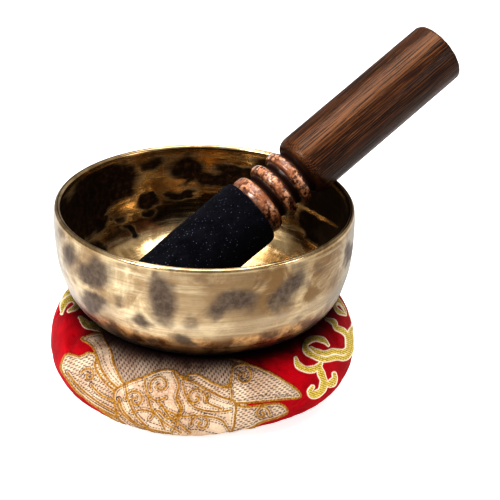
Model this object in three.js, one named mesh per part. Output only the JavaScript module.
// Singing bowl resting on a round brocade cushion, with a suede-wrapped wooden mallet leaning in it.
// Millimetres, +Z up. Origin: centre of the cushion's flat underside.
// Profiles are lists of [radius, height] about the Z axis.
import * as THREE from 'three';

const { degToRad } = THREE.MathUtils;

const GAP = 0.3; // between touching pieces

// ---- Bowl sizes ----
const RIM_Z = 77; // top of the lip
const BOWL_DEPTH = 51; // rim to underside
const WALL = 2.7;
const FLOOR_DEPTH = BOWL_DEPTH - WALL; // rim to the floor inside
const LIP_R = 58.7; // middle of the lip
const LIP_HALF = 1.3; // half of the lip's thickness, and its rounding
const LIP_GROOVE_DEPTH = 0.35;
const LIP_GROOVE_HALF = 0.25; // half of the groove's width
const BOWL_SEGMENTS = 64;
const BOWL_POINTS = 24; // along the outer face
// outer face below the lip: radius, depth below the rim
const BOWL_OUTER = [
  [60.25, 3], [60.45, 8], [60.35, 13], [60.0, 18.5],
  [59.3, 24], [58.1, 28.6], [56.6, 33], [54.4, 37.2],
  [51.2, 40.9], [46.4, 43.9], [41.6, 46.3], [37.2, 48.4],
  [32.6, 49.95], [28.2, 50.75], [24, 51], [12, 51],
];

// ---- Cushion sizes ----
const PANEL = 0.8; // thickness of the cloth
const SEAT_Z = RIM_Z - BOWL_DEPTH - GAP; // top of the pressed-in middle
const CUSHION_SEGMENTS = 48;
const TOP_POINTS = 30; // along the top panel's skin
// outer skin, from the middle over the side to the underside: radius, height above the seat
const CUSHION_SKIN = [
  [12, 0], [22, 0], [28.3, 0.25], [32.8, 1.05], [37.4, 2.62], [41.9, 4.8],
  [45.4, 6.55], [47.6, 7.3], [49.8, 7.55], [52.2, 7.35], [54.8, 6.55], [57.4, 4.9],
  [59.7, 2.3], [61.6, -1.4], [62.8, -5.6], [63.3, -10.2], [63.0, -14.2], [62.0, -16.9],
  [60.3, -19.9], [57.8, -22.4], [54.9, -24.05], [52.9, -24.7], [51.0, -25.05],
].map(([r, z]) => [r, z + SEAT_Z]);

const FOOT_R = 44; // flat part of the underside
const SEAM_R = 50;
const SEAM_SLOT = 1.4; // between the two turned edges
const BASE_EDGE_R = SEAM_R - SEAM_SLOT / 2;
const BASE_EDGE_RISE = 0.65; // of the base panel's edge above the foot
const BASE_STEPS = 3; // from the foot to the edge

const FILL_CLEAR = 1.3; // from the outer skin to the filling
const FILL_POINTS = 26; // along the skin that the filling follows
const FILL_CUT_Z = 3.3; // the filling stops following the skin below this height
const FILL_LOWER = [[54.3, 2.95], [48.6, 2.2]]; // from there in to the foot: radius, height

const THREAD_R = 0.4;
const THREAD_Z = 1.3;
const STITCHES = 48;
const STITCH_WAVE = 0.12; // rise and fall of the thread
const STITCH_PHASE = 0.5; // radians
const STEPS_PER_STITCH = 3;
const THREAD_SIDES = 6;

// ---- Mallet sizes; distances run along its axis from the striking end ----
const MALLET_LENGTH = 166.4;
const MALLET_SEGMENTS = 36;
const SHANK_R = 12.4;
const SHANK_CHAMFER = 0.8;
const BEADS = [
  { start: 59.4, end: 65.8, radius: 13.0 },
  { start: 69.3, end: 74.0, radius: 12.7 },
  { start: 77.5, end: 82.2, radius: 12.4 },
];
const BEAD_BULGE = 2; // radius of a bead's middle over its ends
const BEAD_POWER = 2.6; // above 2, a bead is flatter in the middle than an ellipse
const BEAD_STEPS = 8;
const FIRST_BEAD_SKIP = 2; // points left out where the shank runs into the first bead
const GROOVE_R = 9.7; // bottom of the grooves after the beads
const GROOVE_HALF = 0.35; // half of the width of a groove's bottom
const GRIP_R = 13.5;
const GRIP_START = 85.3;
const SHOULDER_LENGTH = 4.6; // rounding at the start of the grip, along the axis
const SHOULDER_DEPTH = 2.8; // and across it
const SHOULDER_STEPS = 5;
const END_EDGE = 2; // rounding at the grip's end
const END_EDGE_STEPS = 4;
const END_DOME = 0.5;
const DOME_POINT = [6, MALLET_LENGTH - 0.12]; // on the dome between edge and centre

const SLEEVE_WALL = 1.1;
const SLEEVE_R = SHANK_R + GAP + SLEEVE_WALL;
const SLEEVE_START = 0.5;
const SLEEVE_END = BEADS[0].start - GAP;
const SLEEVE_SLIT = 0.4; // butt seam

const MALLET_TILT = degToRad(30); // above the horizontal
const MALLET_TURN = degToRad(33.5); // about Z, from +X
const MALLET_OFFSET = -5.08; // of its axis from the bowl's axis, sideways
const REST_SEARCH = 30; // range below the rim searched for the resting height
const REST_HALVINGS = 40;
const LIP_SAMPLES = 720;

// ---- Profile helpers ----

// centripetal Catmull-Rom curve through the pairs, sampled at even spacing
function smooth(pairs, count) {
  const points = pairs.map(([x, y]) => new THREE.Vector3(x, y, 0));
  const curve = new THREE.CatmullRomCurve3(points, false, 'centripetal');
  return curve.getSpacedPoints(count - 1).map((point) => [point.x, point.y]);
}

// polyline moved sideways, to the left of its direction of travel
function offset(line, distance) {
  return line.map(([x, y], i) => {
    const before = line[Math.max(i - 1, 0)];
    const after = line[Math.min(i + 1, line.length - 1)];
    const [dx, dy] = [after[0] - before[0], after[1] - before[1]];
    const length = Math.hypot(dx, dy);
    return [x - (distance * dy) / length, y + (distance * dx) / length];
  });
}

// point of an ellipse, at an angle from the outward direction towards +Z
function ellipsePoint([r, z], halfR, halfZ, degrees) {
  const angle = degToRad(degrees);
  return [r + halfR * Math.cos(angle), z + halfZ * Math.sin(angle)];
}

// ---- Mesh helpers ----

// closed mesh, its triangles flipped if they face inwards
function solid(positions, triangles) {
  const vertex = (i) => new THREE.Vector3(...positions[i]);
  let volume = 0;
  for (const [a, b, c] of triangles) volume += vertex(a).dot(vertex(b).cross(vertex(c)));
  const faces = volume < 0 ? triangles.map(([a, b, c]) => [a, c, b]) : triangles;
  const geometry = new THREE.BufferGeometry();
  geometry.setAttribute('position', new THREE.Float32BufferAttribute(positions.flat(), 3));
  geometry.setIndex(faces.flat());
  geometry.computeVertexNormals();
  return geometry;
}

// body of revolution about +Z; the profile closes on itself, and radius 0 is one vertex
function revolve(profile, segments) {
  const positions = [];
  const rows = profile.map(([r, z]) => {
    const first = positions.length;
    if (r === 0) {
      positions.push([0, 0, z]);
      return Array(segments).fill(first);
    }
    for (let k = 0; k < segments; k++) {
      const angle = (2 * Math.PI * k) / segments;
      positions.push([r * Math.cos(angle), r * Math.sin(angle), z]);
    }
    return Array.from({ length: segments }, (_, k) => first + k);
  });
  const triangles = [];
  rows.forEach((row, i) => {
    const next = rows[(i + 1) % rows.length];
    for (let k = 0; k < segments; k++) {
      const l = (k + 1) % segments;
      const [a, b, c, d] = [row[k], row[l], next[l], next[k]];
      if (a !== b) triangles.push([a, b, c]);
      if (c !== d) triangles.push([a, c, d]);
    }
  });
  return solid(positions, triangles);
}

// tube along +Z, slit along its length at angle 0
function slitTube({ inner, outer, from, to, slit, segments }) {
  const positions = [];
  const halfSlit = slit / 2 / outer; // radians
  for (const z of [from, to]) {
    for (const r of [inner, outer]) {
      for (let k = 0; k <= segments; k++) {
        const angle = halfSlit + ((2 * Math.PI - 2 * halfSlit) * k) / segments;
        positions.push([r * Math.cos(angle), r * Math.sin(angle), z]);
      }
    }
  }
  // end: 0 from, 1 to; side: 0 inner, 1 outer
  const at = (end, side, k) => (end * 2 + side) * (segments + 1) + k;
  const triangles = [];
  const quad = (a, b, c, d) => triangles.push([a, b, c], [a, c, d]);
  for (let k = 0; k < segments; k++) {
    quad(at(0, 1, k), at(0, 1, k + 1), at(1, 1, k + 1), at(1, 1, k));
    quad(at(0, 0, k + 1), at(0, 0, k), at(1, 0, k), at(1, 0, k + 1));
    quad(at(0, 0, k), at(0, 0, k + 1), at(0, 1, k + 1), at(0, 1, k));
    quad(at(1, 0, k + 1), at(1, 0, k), at(1, 1, k), at(1, 1, k + 1));
  }
  // the two faces of the slit
  quad(at(0, 0, 0), at(0, 1, 0), at(1, 1, 0), at(1, 0, 0));
  quad(at(0, 1, segments), at(0, 0, segments), at(1, 0, segments), at(1, 1, segments));
  return solid(positions, triangles);
}

// closed cord whose middle line is given by centre(u), u from 0 to 1
function cord(centre, { radius, steps, sides }) {
  const positions = [];
  const triangles = [];
  for (let i = 0; i < steps; i++) {
    const middle = centre(i / steps);
    const tangent = centre((i + 0.5) / steps).sub(centre((i - 0.5) / steps)).normalize();
    const side = new THREE.Vector3().crossVectors(tangent, new THREE.Vector3(0, 0, 1)).normalize();
    const up = new THREE.Vector3().crossVectors(side, tangent);
    const j = (i + 1) % steps;
    for (let k = 0; k < sides; k++) {
      const angle = (2 * Math.PI * k) / sides;
      const point = middle.clone()
        .addScaledVector(side, radius * Math.cos(angle))
        .addScaledVector(up, radius * Math.sin(angle));
      positions.push(point.toArray());
      const l = (k + 1) % sides;
      const [a, b, c, d] = [i * sides + k, i * sides + l, j * sides + l, j * sides + k];
      triangles.push([a, b, c], [a, c, d]);
    }
  }
  return solid(positions, triangles);
}

// ---- Bowl ----

// wall of even thickness, with a rounded lip that has a fine groove along its top
function bowl() {
  const outer = smooth([[LIP_R + LIP_HALF, LIP_HALF], ...BOWL_OUTER], BOWL_POINTS)
    .map(([r, depth]) => [r, RIM_Z - depth]);
  const inner = offset(outer, -WALL).slice(1); // the lip takes the place of the first point
  const lip = (degrees) => ellipsePoint([LIP_R, RIM_Z - LIP_HALF], LIP_HALF, LIP_HALF, degrees);
  return revolve([
    [0, RIM_Z - FLOOR_DEPTH],
    ...inner.reverse(),
    ...[180, 150, 120].map(lip),
    [LIP_R - LIP_GROOVE_HALF, RIM_Z],
    [LIP_R, RIM_Z - LIP_GROOVE_DEPTH],
    [LIP_R + LIP_GROOVE_HALF, RIM_Z],
    ...[60, 30].map(lip),
    ...outer,
    [0, RIM_Z - BOWL_DEPTH],
  ], BOWL_SEGMENTS);
}

// ---- Cushion ----

function cushionTopPanel() {
  const outer = smooth(CUSHION_SKIN, TOP_POINTS);
  const inner = offset(outer, -PANEL).reverse();
  return revolve([[0, SEAT_Z], ...outer, ...inner, [0, SEAT_Z - PANEL]], CUSHION_SEGMENTS);
}

// flat foot whose border curves up to the seam
function cushionBasePanel() {
  const lower = [];
  for (let i = 0; i <= BASE_STEPS; i++) {
    const share = i / BASE_STEPS;
    lower.push([FOOT_R + (BASE_EDGE_R - FOOT_R) * share, BASE_EDGE_RISE * share ** 2]);
  }
  const upper = lower.map(([r, z]) => [r, z + PANEL]).reverse();
  return revolve([[0, 0], ...lower, ...upper, [0, PANEL]], CUSHION_SEGMENTS);
}

function cushionFilling() {
  const bottom = PANEL + GAP;
  const alongSkin = offset(smooth(CUSHION_SKIN, FILL_POINTS), -FILL_CLEAR)
    .filter(([, z]) => z > FILL_CUT_Z);
  return revolve([
    [0, SEAT_Z - FILL_CLEAR],
    ...alongSkin,
    ...FILL_LOWER,
    [FOOT_R, bottom],
    [0, bottom],
  ], CUSHION_SEGMENTS);
}

// ring of thread in the seam slot, one wave per stitch
function cushionSeamThread() {
  const centre = (u) => {
    const angle = 2 * Math.PI * u;
    const z = THREAD_Z + STITCH_WAVE * Math.cos(STITCHES * angle + STITCH_PHASE);
    return new THREE.Vector3(SEAM_R * Math.cos(angle), SEAM_R * Math.sin(angle), z);
  };
  const steps = STITCHES * STEPS_PER_STITCH;
  return cord(centre, { radius: THREAD_R, steps, sides: THREAD_SIDES });
}

// ---- Mallet, built along +Z from its striking end ----

// one bead, from point `first` on, and the bottom of the groove that follows it
function beadAndGroove({ start, end, radius }, nextStart, first) {
  const line = [];
  for (let k = first; k <= BEAD_STEPS; k++) {
    const u = -1 + (2 * k) / BEAD_STEPS; // -1 to 1 along the bead
    const bulge = BEAD_BULGE * Math.sqrt(1 - Math.abs(u) ** BEAD_POWER);
    line.push([radius - BEAD_BULGE + bulge, (start + end) / 2 + ((end - start) / 2) * u]);
  }
  const groove = (end + nextStart) / 2;
  line.push([GROOVE_R, groove - GROOVE_HALF], [GROOVE_R, groove + GROOVE_HALF]);
  return line;
}

function malletHandle() {
  const line = [
    [0, 0],
    [SHANK_R - SHANK_CHAMFER, 0],
    [SHANK_R, SHANK_CHAMFER],
    [SHANK_R, BEADS[0].start],
  ];
  BEADS.forEach((bead, i) => {
    const nextStart = BEADS[i + 1]?.start ?? GRIP_START;
    line.push(...beadAndGroove(bead, nextStart, i === 0 ? FIRST_BEAD_SKIP : 0));
  });
  const shoulder = [GRIP_R - SHOULDER_DEPTH, GRIP_START + SHOULDER_LENGTH];
  for (let k = 0; k <= SHOULDER_STEPS; k++) {
    const degrees = -90 + (90 * k) / SHOULDER_STEPS;
    line.push(ellipsePoint(shoulder, SHOULDER_DEPTH, SHOULDER_LENGTH, degrees));
  }
  const edge = [GRIP_R - END_EDGE, MALLET_LENGTH - END_DOME - END_EDGE];
  for (let k = 0; k <= END_EDGE_STEPS; k++) {
    line.push(ellipsePoint(edge, END_EDGE, END_EDGE, (90 * k) / END_EDGE_STEPS));
  }
  line.push(DOME_POINT, [0, MALLET_LENGTH]);
  return revolve(line, MALLET_SEGMENTS);
}

function malletSuedeSleeve() {
  return slitTube({
    inner: SLEEVE_R - SLEEVE_WALL,
    outer: SLEEVE_R,
    from: SLEEVE_START,
    to: SLEEVE_END,
    slit: SLEEVE_SLIT,
    segments: MALLET_SEGMENTS,
  });
}

// where the mallet rests: its sleeve a gap from the lip, its striking end above the bowl's floor
function malletPlacement() {
  const axis = new THREE.Vector3(
    Math.cos(MALLET_TILT) * Math.cos(MALLET_TURN),
    Math.cos(MALLET_TILT) * Math.sin(MALLET_TURN),
    Math.sin(MALLET_TILT),
  );
  const side = new THREE.Vector3(-Math.sin(MALLET_TURN), Math.cos(MALLET_TURN), 0);
  const up = new THREE.Vector3().crossVectors(axis, side);

  // least distance from the lip to the sleeve when the axis passes through the point
  const lipClearance = (point) => {
    let least = Infinity;
    for (let k = 0; k < LIP_SAMPLES; k++) {
      const angle = (2 * Math.PI * k) / LIP_SAMPLES;
      const toLip = new THREE.Vector3(
        LIP_R * Math.cos(angle), LIP_R * Math.sin(angle), RIM_Z - LIP_HALF).sub(point);
      least = Math.min(least, toLip.cross(axis).length());
    }
    return least - LIP_HALF - SLEEVE_R;
  };

  // halve the range of heights until the clearance is the gap
  const pointAt = (height) => side.clone().multiplyScalar(MALLET_OFFSET).setZ(height);
  let [low, high] = [RIM_Z - REST_SEARCH, RIM_Z];
  for (let i = 0; i < REST_HALVINGS; i++) {
    const middle = (low + high) / 2;
    if (lipClearance(pointAt(middle)) < GAP) low = middle;
    else high = middle;
  }

  // slide along the axis until an end of the sleeve's radius is a gap above the floor
  const point = pointAt(high);
  const lowest = RIM_Z - FLOOR_DEPTH + GAP;
  const reach = (point.z - SLEEVE_R * up.z - lowest) / axis.z;
  const foot = point.clone().addScaledVector(axis, -reach);
  // local +X points down, so the sleeve's slit is underneath
  return new THREE.Matrix4().makeBasis(up.clone().negate(), side, axis).setPosition(foot);
}

// ---- Materials; colours are linear red, green, blue ----

function material({ colour, roughness, metalness = 0 }) {
  return new THREE.MeshStandardMaterial({
    color: new THREE.Color(...colour), roughness, metalness,
  });
}

const brass = () => material({ colour: [0.7, 0.56, 0.33], roughness: 0.3, metalness: 1 });
const brocade = () => material({ colour: [0.62, 0.01, 0.05], roughness: 0.55 });
const baseCloth = () => material({ colour: [0.4, 0.02, 0.04], roughness: 0.85 });
const wadding = () => material({ colour: [0.85, 0.83, 0.78], roughness: 0.95 });
const thread = () => material({ colour: [0.5, 0.02, 0.04], roughness: 0.7 });
const hardwood = () => material({ colour: [0.25, 0.11, 0.05], roughness: 0.45 });
const suede = () => material({ colour: [0.015, 0.015, 0.02], roughness: 0.95 });

// ---- Assembly ----

const group = new THREE.Group();
group.name = 'singing_bowl';

function add(name, geometry, look) {
  const mesh = new THREE.Mesh(geometry, look);
  mesh.name = name;
  group.add(mesh);
}

const rest = malletPlacement();
add('bowl', bowl(), brass());
add('cushion_top_panel', cushionTopPanel(), brocade());
add('cushion_base_panel', cushionBasePanel(), baseCloth());
add('cushion_filling', cushionFilling(), wadding());
add('cushion_seam_thread', cushionSeamThread(), thread());
add('mallet_handle', malletHandle().applyMatrix4(rest), hardwood());
add('mallet_suede_sleeve', malletSuedeSleeve().applyMatrix4(rest), suede());

export default group;
